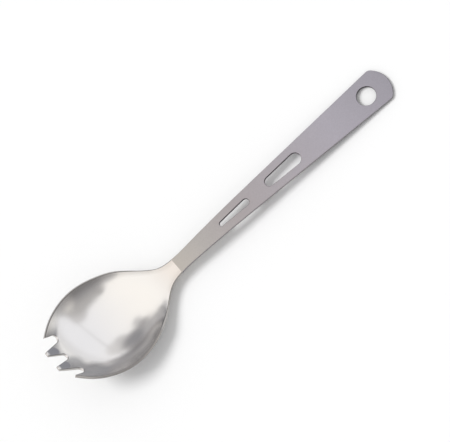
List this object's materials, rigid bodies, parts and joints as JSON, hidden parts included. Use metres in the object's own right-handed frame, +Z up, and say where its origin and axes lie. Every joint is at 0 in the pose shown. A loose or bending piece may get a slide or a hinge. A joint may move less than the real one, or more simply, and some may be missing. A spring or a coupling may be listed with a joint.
{
  "type": "spork",
  "caption": "One-piece metal spork: deep oval bowl with short tines, slim tapered handle with slots and a round hang hole.",
  "frame": {"origin": "on the surface that the spork lies on, under the middle of its length and width", "axes": "+X along the handle towards the tines, +Z up out of the bowl, Y across the bowl"},
  "size_m": [0.1654, 0.0404, 0.0207],
  "materials": {
    "polished": "polished titanium",
    "bead_blasted": "bead-blasted titanium"
  },
  "bodies": {
    "root": {"bowl": "polished", "handle": "bead_blasted"}
  },
  "joints": []
}
